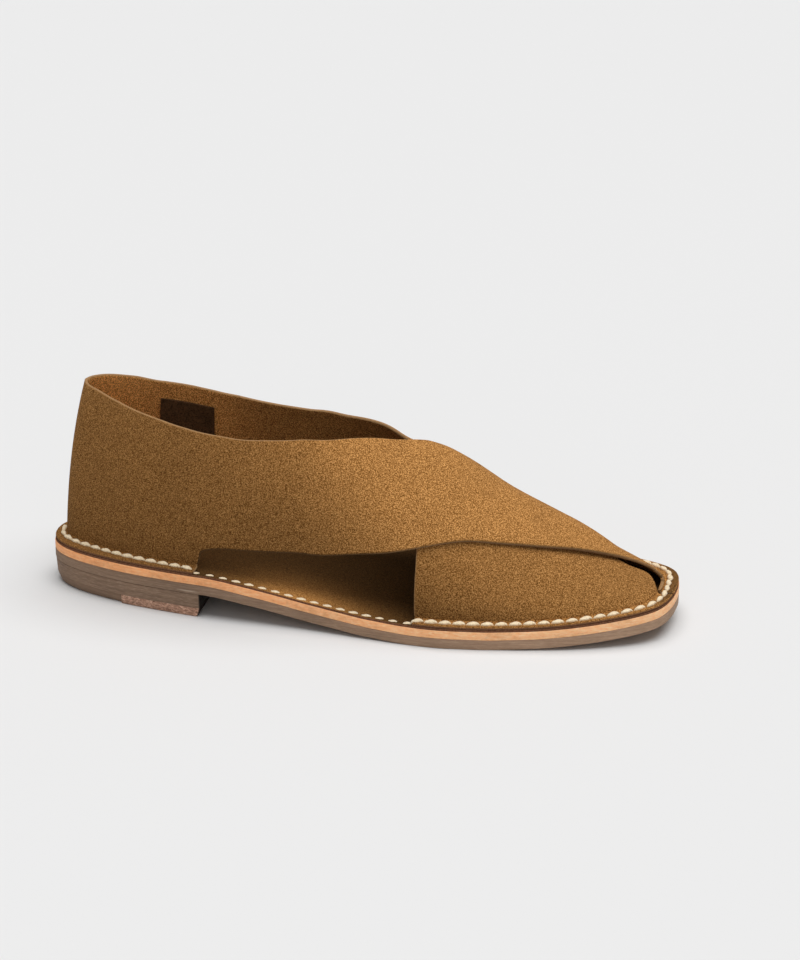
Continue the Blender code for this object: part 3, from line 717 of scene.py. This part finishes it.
def strapGrid(rows, side, over):
    # one band as a grid: outer and inner points, which of them exist, shade marks and painted light and shade
    # tones
    count, tn = upperSizes["rows"], paintedLightShade
    table = []
    for i, (a, ta, b, tb) in enumerate(rows):
        ta = side * (1 - float(footHeight(a, side))) if i <= heelFootRows else ta
        tb = -side * (1 - float(footHeight(b, -side))) if i >= foreFootRow else tb
        table.append((float(i), a, ta, b, tb))
    q = np.linspace(0.0, len(rows) - 1.0, (len(rows) - 1) * upperSizes["steps"] + 1)
    pa, ta, pb, tb = [smoothLine(table, k)(q) for k in range(1, 5)]
    nearly = 1e-6
    heelFoot = q <= heelFootRows + nearly
    foreFoot = q >= foreFootRow - nearly
    ta = np.where(heelFoot, side * (1 - footHeight(pa, side)), ta)
    tb = np.where(foreFoot, -side * (1 - footHeight(pb, -side)), tb)
    ta = np.clip(ta, footHeight(pa, -1) - 1, 1 - footHeight(pa, 1))
    tb = np.clip(tb, footHeight(pb, -1) - 1, 1 - footHeight(pb, 1))
    runOut = (pa > 1.0) & (ta >= 1 - footHeight(pa, 1) - nearly)
    pa, ta = np.where(runOut, pb, pa), np.where(runOut, tb, ta)
    s = np.linspace(0.0, 1.0, count + 1)
    p = pa[:, None] + (pb - pa)[:, None] * s
    t = ta[:, None] + (tb - ta)[:, None] * s
    nrm = lastNormal(p, t)
    up = worn(p, t) * smoothStep((1 - np.abs(t)) / upperSizes["creaseSoft"])
    if over:
        up = up + lift(p, t)
    outer = lastPoint(p, t) + nrm * up[..., None]
    extra = upperSizes["filletRows"] + upperSizes["flangeRows"]
    n, wide = len(q), count + 1 + 2 * extra
    gridOut, gridIn = np.zeros((n, wide, 3)), np.zeros((n, wide, 3))
    there = np.zeros((n, wide), bool)
    shade, paintedLightOut, paintedLightIn = np.zeros((n, wide)), np.ones((n, wide)), np.ones((n, wide))
    mid = slice(extra, extra + count + 1)
    gridOut[:, mid], gridIn[:, mid], there[:, mid] = outer, outer - nrm * suede, True
    # painted light and shade outside: lighter where the suede faces up, darker low on the wall and, on the
    # under band, toward the front
    top = nrm[..., 2] * np.sign(nrm[..., 2].mean())
    tall = eased(outer[..., 2] - flangeBase - ground(outer[..., 0]), tn["wall"])
    paintedLightOut[:, mid] = tn["steep"] + tn["flatGain"] * eased(top, tn["flat"])
    paintedLightOut[:, mid] *= 1 - tn["footDark"] * (1 - tall)
    if not over:
        paintedLightOut[:, mid] *= 1 - tn["underDark"] * eased(p, tn["under"])
    # painted light and shade inside: lighter all over, most at the heel, darker further forward
    paintedLightIn[:, mid] = tn["inside"] + tn["heelGain"] * np.exp(-(p / tn["heelWide"]) ** 2)
    paintedLightIn[:, mid] -= tn["insideDark"] * eased(p, tn["insideFore"])
    for mask, pp, foot, start, way, ss in ((heelFoot, pa, outer[:, 0], extra, -1, side),
                                          (foreFoot, pb, outer[:, -1], extra + count, 1, -side)):
        o, i, m = flangeRows(pp, ss, foot)
        # painted shade on the flange, darkest at the heel, and on the flange's inside
        tone = tn["flange"] + tn["flangeGain"] * eased(pp, tn["flangeFore"])
        for k in range(extra):
            row = start + way * (k + 1)
            gridOut[mask, row], gridIn[mask, row], shade[mask, row] = o[k][mask], i[k][mask], m[k][mask]
            paintedLightOut[mask, row], paintedLightIn[mask, row], there[mask, row] = tone[mask], tn["flangeInside"], True
    if over:
        # painted shade under the over band's lower edge: full toward the back, less past midway, none near
        # the toe
        lip = 1.0 - tn["lipMidFade"] * eased(pa, tn["lipMid"]) - tn["lipEndFade"] * eased(pa, tn["lipEnd"])
        shade[~heelFoot, extra] = lip[~heelFoot]
    return gridOut, gridIn, there, shade, paintedLightOut, paintedLightIn


def strapMesh(name, gridOut, gridIn, there, shadeOut, paintedLightOut, paintedLightIn):
    # closed wall from the two grids, its cut edges rounded
    n, wide = there.shape
    index = -np.ones(there.shape, int)
    index[there] = np.arange(there.sum())
    count = int(there.sum())
    outer, inner = gridOut[there], gridIn[there]
    rowOf = np.broadcast_to(np.arange(wide), there.shape)[there]
    quads, edges = [], {}
    for i in range(n - 1):
        for r in range(wide - 1):
            ids = (index[i, r], index[i + 1, r], index[i + 1, r + 1], index[i, r + 1])
            if min(ids) >= 0:
                quads.append(ids)
                for a, b in zip(ids, ids[1:] + ids[:1]):
                    edges[(a, b)] = 1
    rim = [(a, b) for a, b in edges if (b, a) not in edges]
    away = np.zeros((count, 3))
    for a, b in rim:
        c = np.cross(outer[b] - outer[a], outer[a] - inner[a] + outer[b] - inner[b])
        size = np.linalg.norm(c)
        if size > 1e-9:
            away[a] += c / size
            away[b] += c / size
    size = np.linalg.norm(away, axis=1)
    away[size > 1e-9] /= size[size > 1e-9][:, None]
    onRim = sorted({v for e in rim for v in e})
    r = upperSizes["rimRound"]
    outer[onRim] -= away[onRim] * r
    inner[onRim] -= away[onRim] * r
    bulge = [(0.10, 0.55), (0.30, 0.95), (0.5, 1.05), (0.70, 0.95), (0.90, 0.55)]  # shares: depth, reach
    steps = len(bulge)
    rimAt = {v: 2 * count + k * steps for k, v in enumerate(onRim)}
    rounded = [outer[v] + (inner[v] - outer[v]) * w + away[v] * r * b for v in onRim for w, b in bulge]
    verts = np.concatenate([outer, inner, np.array(rounded)])
    faces = [list(f) for f in quads] + [[v + count for v in reversed(f)] for f in quads]
    for a, b in rim:
        chainA, chainB = [[v] + [rimAt[v] + k for k in range(steps)] + [v + count] for v in (a, b)]
        for k in range(steps + 1):
            faces.append([chainB[k], chainA[k], chainA[k + 1], chainB[k + 1]])
    cut, ink, shade = np.zeros(len(verts)), np.zeros(len(verts)), np.zeros(len(verts))
    shade[:count] = shadeOut[there]
    for v in onRim:
        # inked beside the sole, raw suede elsewhere
        band = slice(rimAt[v], rimAt[v] + steps)
        if rowOf[v] <= 1 or rowOf[v] >= wide - 2:
            ink[band] = (0.0, 0.25, 0.8, 1.0, 1.0)
        else:
            cut[v], cut[band] = 0.15, 1.0
            # the cut edge takes the painted shade of the surface beside it
            shade[band] = shade[v]
    tone = np.concatenate([paintedLightOut[there], paintedLightIn[there], np.repeat(paintedLightOut[there][onRim], steps)])
    return closedMesh(name, verts, faces, {"cut": cut, "ink": ink, "shade": shade, "tone": tone})


lateral = strapGrid(lateralBand, -1, True)
medial = strapGrid(medialBand, 1, False)
strap = [np.concatenate([m[:0:-1], l]) for m, l in zip(medial, lateral)]
upper = strapMesh("suede_upper", *strap)
dress(upper, suedeSkin, "upper")
print("upper made:", len(upper.data.polygons), "faces")

# sole layers: edge radii and the gap left between layers in millimetres, the waist's share of the width,
# how points crowd at heel and toe, and the span of length over which the edge gets paler
soleSizes = {
    "insoleRound": 0.12, "midsoleRound": 0.15, "outsoleRound": 0.12, "heelRound": 0.10, "footRound": 0.65,
    "joint": 0.02, "waistShare": 0.7, "endCrowd": 0.055, "probes": 2400, "paler": (0.10, 0.85),
}
# painted pool of light on the insole, where light falls in beside the lateral edge, with painted shade around
# it: factors, then millimetres from the heel and from the lateral edge
insoleLightPool = {"rest": 0.5, "gain": 3.3, "at": 128.0, "half": 29.0, "reach": 17.0}


def waver(p, seed, deep):
    # hand-trimmed edge: a slow, shallow waver along it
    return deep * sum(math.cos(seed * 1.7 + k) * np.sin(2 * math.pi * (3 + 5 * k) * p + seed * k * 1.3)
                      for k in range(4))


def closedStack(n, m, levels):
    # faces of n by m grids lying under each other: top, underside and the wall round them
    size = n * m
    low = (levels - 1) * size
    faces = []
    for i in range(n - 1):
        for j in range(m - 1):
            a, b, c, d = i * m + j, (i + 1) * m + j, (i + 1) * m + j + 1, i * m + j + 1
            faces += [[a, b, c, d], [low + d, low + c, low + b, low + a]]
    ring = [i * m for i in range(n)] + [(n - 1) * m + j for j in range(1, m)]
    ring += [i * m + m - 1 for i in range(n - 2, -1, -1)] + [j for j in range(m - 2, 0, -1)]
    for k in range(0, low, size):
        for a, b in zip(ring, ring[1:] + ring[:1]):
            faces.append([b + k, a + k, a + k + size, b + k + size])
    return faces


def toeward(x, inward):
    return eased(x / last["soleLength"], soleSizes["paler"])


# painted pool of light on the insole, and painted shade away from it
def scuffAndLightPool(x, inward):
    off = ((x - insoleLightPool["at"]) / insoleLightPool["half"]) ** 2 + (inward / insoleLightPool["reach"]) ** 2
    return insoleLightPool["rest"] + insoleLightPool["gain"] * np.exp(-off)


def layer(name, levels, across=14, along=420, seed=1.0, deep=0.05, tone=toeward):
    # closed layer from levels, top first: inset, height over x, first and last x
    grids = []
    for inset, high, x0, x1 in levels:
        lines = []
        for side in (-1, 1):
            at = edgeLine(side, inset)
            p = np.linspace(0.0, 1.0, soleSizes["probes"])
            x = at(p)[0]
            first = 0.0 if x0 is None else np.interp(x0, x, p)
            end = 1.0 if x1 is None else np.interp(x1, x, p)
            s = np.linspace(0.0, 1.0, along)
            if x0 is None and x1 is None:
                s = s - soleSizes["endCrowd"] * np.sin(2 * math.pi * s)
            q = first + (end - first) * s
            ex, ey, nx, ny, _ = at(q)
            w = waver(q, seed + side, deep) * np.sin(math.pi * q) ** 0.5
            lines.append(np.stack([ex - nx * w, ey - ny * w], 1))
        k = np.linspace(0.0, 1.0, across)[None, :, None]
        plan = lines[0][:, None] * (1 - k) + lines[1][:, None] * k
        grids.append(np.concatenate([plan, high(plan[..., 0])[..., None]], -1))
    verts = np.concatenate([g.reshape(-1, 3) for g in grids])
    count = len(grids)
    onEdge = np.ones(count)
    onEdge[[0, -1]] = 0.0
    # a layer that ends short of the toe gets painted shadow on its front face, the heel's breast
    breastInShadow = np.zeros(along)
    breastInShadow[-1] = 0.0 if levels[0][3] is None else 1.0
    inward = np.tile(np.linspace(0.0, last["soleWidth"] * soleSizes["waistShare"], across), along * count)
    marks = {
        "rise": (verts[:, 2] - ground(verts[:, 0])) * mm, "ink": np.repeat(onEdge, along * across),
        "cut": np.zeros(len(verts)), "shade": np.tile(np.repeat(breastInShadow, across), count),
        "tone": tone(verts[:, 0], inward),
    }
    return closedMesh(name, verts, closedStack(along, across, count), marks, 50)


def edgeSteps(low, high, crown, foot):
    # how far a rounded edge is drawn in at each height, top first
    return ((crown, high), (0.3 * crown, high - 0.25 * crown), (0.0, high - crown), (0.0, (low + high) / 2),
            (0.0, low + foot), (0.3 * foot, low + 0.25 * foot), (foot, low))


def bentLevels(low, high, crown, inset=0.0, foot=None):
    # levels that follow the sole's underside
    return [(inset + pull, lambda x, z=z: ground(x) + z, None, None)
            for pull, z in edgeSteps(low, high, crown, foot or crown)]


def heelLevels(low, high, insetLow, insetHigh, x0, x1, bevel=0.0):
    # level ones that taper downward, with a bevelled breast
    foot = soleSizes["footRound"] if low == 0.0 else soleSizes["heelRound"]
    levels = []
    for pull, z in edgeSteps(low, high, soleSizes["heelRound"], foot):
        k = (high - z) / (high - low)
        inset = insetHigh + (insetLow - insetHigh) * k + pull
        start = None if x0 is None else x0 + pull
        levels.append((inset, lambda x, z=z: np.full(np.shape(x), z), start, x1 - bevel * k - pull))
    return levels


joint = soleSizes["joint"]
heelTop = last["heelRise"] - joint
blockLow = last["topPieceThick"] + joint
insetFoot = last["heelInset"] + last["heelTaper"]
insetMid = last["heelInset"] + last["heelTaper"] * (heelTop - blockLow) / heelTop
insetRear = insetFoot + last["backBevel"] * 0.5
breast = last["heelLengthShare"] * last["soleLength"]
split = last["rubberShare"] * last["soleLength"]

insole = layer("suede_insole", bentLevels(insoleBase, flangeBase - joint, soleSizes["insoleRound"], fit),
               across=34, seed=2.0, tone=scuffAndLightPool)
dress(insole, insoleSkin, "insole")
midsole = layer("leather_midsole", bentLevels(last["outsoleThick"] + joint, insoleBase - joint,
                                              soleSizes["midsoleRound"]), seed=3.1)
dress(midsole, midsoleSkin, "midsole")
outsole = layer("rubber_outsole", bentLevels(0.0, last["outsoleThick"], soleSizes["outsoleRound"],
                                             foot=soleSizes["footRound"]), seed=4.3)
dress(outsole, outsoleSkin, "outsole")
heelBlock = layer("heel_block_fine", heelLevels(blockLow, heelTop, insetMid, last["heelInset"], None, breast),
                  along=170, seed=5.0, deep=0.03)
dress(heelBlock, heelSkin, "heel_block")
rearTop = layer("top_piece_rear", heelLevels(0.0, last["topPieceThick"], insetRear, insetMid, None, split),
                along=110, seed=6.0, deep=0.03)
dress(rearTop, rearTopSkin, "top_piece_rubber")
frontTop = layer("top_piece_front", heelLevels(0.0, last["topPieceThick"], insetFoot, insetMid, split + joint,
                                               breast, last["breastBevel"]), along=90, seed=7.0)
dress(frontTop, frontTopSkin, "top_piece_leather")
print("sole made")

# bare patch inside the medial quarter: across, down and probes count points, from and to are shares of
# the way round, the wall's two of the height
patchSizes = {
    "across": 24, "down": 20, "from": 0.150, "to": 0.238, "wallTop": 0.97, "wallLow": 0.5,
    "probes": 400, "glue": 0.05,
}


def liningPatch(name):
    sz = patchSizes
    collar = smoothLine([(r[2], r[3]) for r in medialBand[:14]], 1)
    wall = np.linspace(sz["wallTop"], sz["wallLow"], sz["probes"])
    top, low = [], []
    for p in np.linspace(sz["from"], sz["to"], sz["across"]):
        edge = lastPoint(p, collar(p))[2] - last["patchDrop"]
        heights = lastPoint(np.full(len(wall), p), wall)[:, 2]
        high, deep = [np.interp(z, heights, wall) for z in (edge, edge - last["patchTall"])]
        t = np.linspace(high, deep, sz["down"])
        here = np.full(len(t), p)
        nr = lastNormal(here, t)
        pt = lastPoint(here, t) + nr * worn(p, t)[:, None]
        top.append(pt - nr * (suede + sz["glue"]))
        low.append(pt - nr * (suede + fit + last["patchThick"]))
    verts = np.concatenate([np.array(top).reshape(-1, 3), np.array(low).reshape(-1, 3)])
    return closedMesh(name, verts, closedStack(sz["across"], sz["down"], 2), None, 50)


lining = liningPatch("lining_patch_fine")
dress(lining, liningSkin, "lining_patch")
print("lining patch made")

# stitching round the sole's edge, in millimetres and degrees; heelEnd and foreStart are the shares of
# the way round where the flange ends and begins again
stitchSizes = {
    "pitch": 6.25, "long": 6.0, "thick": 1.0, "endThin": 0.30, "apart": 0.30, "endApart": 0.25,
    "tall": 0.70, "drop": 0.25, "flatten": 0.55, "sunk": 0.82, "turns": 0.75, "start": 0.4,
    "slant": 9.0, "leastSlant": 0.35, "rings": 11, "sides": 6, "seed": 4, "jitter": 0.07,
    "heelEnd": 0.264, "foreStart": 0.588, "rampLong": 0.006, "pathPoints": 900,
}


def stitchShape(name):
    # one laid stitch of two twisted plies, diving at both ends; along X, in metres
    sz = stitchSizes
    mesh = bpy.data.meshes.new(name)
    bm = bmesh.new()
    for ply in (0.0, math.pi):
        rings = []
        for k in range(sz["rings"]):
            u = k / (sz["rings"] - 1)
            bow = math.sin(math.pi * u)
            fat = sz["thick"] * (sz["endThin"] + (1 - sz["endThin"]) * bow ** 0.45)
            apart = sz["apart"] * (sz["endApart"] + (1 - sz["endApart"]) * bow ** 0.5)
            a = ply + 2 * math.pi * sz["turns"] * (u - 0.5) + sz["start"]
            x = (u - 0.5) * sz["long"]
            y = math.cos(a) * apart
            z = math.sin(a) * apart * sz["flatten"] + sz["tall"] * bow ** 0.5 - sz["drop"]
            turns = [2 * math.pi * j / sz["sides"] for j in range(sz["sides"])]
            rings.append([bm.verts.new((x * mm, (y + fat * math.cos(b)) * mm, (z + fat * math.sin(b)) * mm))
                          for b in turns])
        for one, two in zip(rings, rings[1:]):
            for j in range(sz["sides"]):
                k = (j + 1) % sz["sides"]
                bm.faces.new((one[j], two[j], two[k], one[k]))
        bm.faces.new(rings[0])
        bm.faces.new(rings[-1][::-1])
    bmesh.ops.recalc_face_normals(bm, faces=bm.faces[:])
    bm.to_mesh(mesh)
    bm.free()
    mesh.polygons.foreach_set("use_smooth", [True] * len(mesh.polygons))
    return added(name, mesh)


def stitchHeight(x, p):
    # flange top where the upper is stitched down, insole top in the openings
    sz = stitchSizes
    low = insoleBase + last["insoleThick"] - sz["sunk"]
    high = flangeBase + suede - upperSizes["seamDepth"]
    heel = smoothStep((sz["heelEnd"] - p) / sz["rampLong"] + 0.5)
    fore = smoothStep((p - sz["foreStart"]) / sz["rampLong"] + 0.5)
    return ground(x) + low + (high - low) * np.clip(heel + fore, 0.0, 1.0)


def stitchPath(name):
    pts = []
    for side in (-1, 1):
        at = edgeLine(side, stitchInset)
        p = np.linspace(0.0, 1.0, stitchSizes["pathPoints"])
        x, y = at(p)[:2]
        line = np.stack([x, y, stitchHeight(x, p)], 1)
        pts.append(line if side < 0 else line[::-1])
    loop = np.concatenate([pts[0], pts[1][1:-1]])
    loop[:, 0] -= last["soleLength"] / 2
    mesh = bpy.data.meshes.new(name)
    n = len(loop)
    mesh.from_pydata((loop * mm).tolist(), [(i, (i + 1) % n) for i in range(n)], [])
    around = np.linalg.norm(np.diff(np.concatenate([loop, loop[:1]]), axis=0), axis=1).sum()
    return added(name, mesh), around


def stitchTree(name):
    tree = bpy.data.node_groups.new(name, "GeometryNodeTree")
    sockets = (
        ("Geometry", "Geometry", "INPUT"), ("Stitch Pitch", "Float", "INPUT"),
        ("Size Jitter", "Float", "INPUT"), ("Slant", "Float", "INPUT"), ("Seed", "Int", "INPUT"),
        ("Stitch", "Object", "INPUT"), ("Thread", "Material", "INPUT"), ("Geometry", "Geometry", "OUTPUT"),
    )
    for label, kind, way in sockets:
        tree.interface.new_socket(name=label, in_out=way, socket_type="NodeSocket" + kind)
    add = tree.nodes.new
    given, result = add("NodeGroupInput"), add("NodeGroupOutput")
    curve, even = add("GeometryNodeMeshToCurve"), add("GeometryNodeResampleCurve")
    even.mode = "LENGTH"
    ahead = add("GeometryNodeInputTangent")
    yaw, pitch = add("FunctionNodeAlignRotationToVector"), add("FunctionNodeAlignRotationToVector")
    for node, pivot in ((yaw, "Z"), (pitch, "AUTO")):
        node.axis = "X"
        node.pivot_axis = pivot
    info, lay = add("GeometryNodeObjectInfo"), add("GeometryNodeInstanceOnPoints")
    size, lean = add("FunctionNodeRandomValue"), add("FunctionNodeRandomValue")
    less, more, back = add("ShaderNodeMath"), add("ShaderNodeMath"), add("ShaderNodeMath")
    turn, angle = add("GeometryNodeRotateInstances"), add("ShaderNodeCombineXYZ")
    real, paint = add("GeometryNodeRealizeInstances"), add("GeometryNodeSetMaterial")
    less.operation, more.operation, back.operation = "SUBTRACT", "ADD", "MULTIPLY"
    less.inputs[0].default_value = 1.0
    more.inputs[0].default_value = 1.0
    back.inputs[1].default_value = stitchSizes["leastSlant"]
    for a, out, b, into in (
        (given, "Geometry", curve, "Mesh"), (curve, "Curve", even, "Curve"),
        (given, "Stitch Pitch", even, "Length"), (even, "Curve", lay, "Points"),
        (given, "Stitch", info, "Object"), (info, "Geometry", lay, "Instance"),
        (ahead, 0, yaw, "Vector"), (yaw, "Rotation", pitch, "Rotation"),
        (ahead, 0, pitch, "Vector"), (pitch, "Rotation", lay, "Rotation"),
        (given, "Size Jitter", less, 1), (given, "Size Jitter", more, 1),
        (less, 0, size, 2), (more, 0, size, 3), (given, "Seed", size, "Seed"), (size, 1, lay, "Scale"),
        (given, "Slant", lean, 3), (given, "Slant", back, 0), (back, 0, lean, 2),
        (given, "Seed", lean, "Seed"), (lean, 1, angle, "Z"),
        (lay, "Instances", turn, "Instances"), (angle, 0, turn, "Rotation"),
        (turn, "Instances", real, "Geometry"), (real, "Geometry", paint, "Geometry"),
        (given, "Thread", paint, "Material"), (paint, "Geometry", result, "Geometry"),
    ):
        tree.links.new(a.outputs[out], b.inputs[into])
    return tree


def setInput(modifier, label, value):
    for item in modifier.node_group.interface.items_tree:
        if item.item_type == "SOCKET" and item.in_out == "INPUT" and item.name == label:
            modifier[item.identifier] = value


path, around = stitchPath("stitch_path")
oneStitch = stitchShape("one_stitch")
modifier = path.modifiers.new("stitches", "NODES")
modifier.node_group = stitchTree("stitch_row")
count = round(around / stitchSizes["pitch"])
for label, value in (
    ("Stitch Pitch", around / count * mm), ("Size Jitter", stitchSizes["jitter"]),
    ("Slant", math.radians(stitchSizes["slant"])), ("Seed", stitchSizes["seed"]),
    ("Stitch", oneStitch), ("Thread", threadSkin),
):
    setInput(modifier, label, value)
bpy.context.view_layer.update()
graph = bpy.context.evaluated_depsgraph_get()
stitches = added("edge_stitches", bpy.data.meshes.new_from_object(path.evaluated_get(graph)))
path.modifiers.clear()
bpy.data.objects.remove(path, do_unlink=True)
bpy.data.objects.remove(oneStitch, do_unlink=True)
dress(stitches, threadSkin)
print("stitches made:", count)

# floor, light and camera
studio = {
    "floorSize": 16.0, "floorColour": (0.75, 0.75, 0.75),
    "keyFrom": (0.14, 0.02, 1.0), "keyStrength": 2.92, "keySpread": 62.0,
    "fillFrom": (0.15, -0.88, 0.46), "fillStrength": 0.35, "fillSpread": 50.0, "ambient": 0.16,
}
camera = {
    "turn": 11.5, "height": 21.0, "distance": 1400.0, "pixelsPerMm": 2.16065,
    "originAcross": 363.24, "originDown": 594.2, "imageWide": 800.0, "imageTall": 960.0, "sensor": 36.0,
}
half = studio["floorSize"] / 2
floorMesh = bpy.data.meshes.new("floor")
corners = [(-half, -half, 0), (half, -half, 0), (half, half, 0), (-half, half, 0)]
floorMesh.from_pydata(corners, [], [(0, 1, 2, 3)])
floor = added("floor", floorMesh)
floorSkin, tree, shader = newFinish("pale_floor", 0.9, 0.1)
shader.inputs["Base Color"].default_value = (*studio["floorColour"], 1.0)
floor.data.materials.append(floorSkin)

for label, use in (("overhead_softbox", "key"), ("front_fill", "fill")):
    light = bpy.data.lights.new(label, "SUN")
    light.energy = studio[use + "Strength"]
    light.angle = math.radians(studio[use + "Spread"])
    lightObj = added(label, light)
    lightObj.rotation_euler = Vector(studio[use + "From"]).to_track_quat("Z", "Y").to_euler()
scene.view_settings.view_transform = "Standard"
world = bpy.data.worlds.new("studio")
world.use_nodes = True
world.node_tree.nodes["Background"].inputs["Color"].default_value = (1.0, 1.0, 1.0, 1.0)
world.node_tree.nodes["Background"].inputs["Strength"].default_value = studio["ambient"]
scene.world = world

turn, tip = math.radians(camera["turn"]), math.radians(camera["height"])
right = np.array([math.cos(turn), math.sin(turn), 0.0])
upward = np.array([-math.sin(turn) * math.sin(tip), math.cos(turn) * math.sin(tip), math.cos(tip)])
backward = np.cross(right, upward)
shiftRight = (camera["originAcross"] - camera["imageWide"] / 2) / camera["pixelsPerMm"]
shiftDown = (camera["originDown"] - camera["imageTall"] / 2) / camera["pixelsPerMm"]
eye = (-right * shiftRight + upward * shiftDown + backward * camera["distance"]) * mm
lens = bpy.data.cameras.new("photo_camera")
lens.sensor_fit = "AUTO"
lens.sensor_width = camera["sensor"]
lens.lens = camera["pixelsPerMm"] * camera["distance"] * camera["sensor"] / camera["imageTall"]
lens.clip_end = 50.0
camObj = added("photo_camera", lens)
axes = np.stack([right, upward, backward], 1).tolist()
camObj.matrix_world = Matrix([[*row, e] for row, e in zip(axes, eye)] + [[0, 0, 0, 1]])
scene.camera = camObj
print("floor, light and camera made")
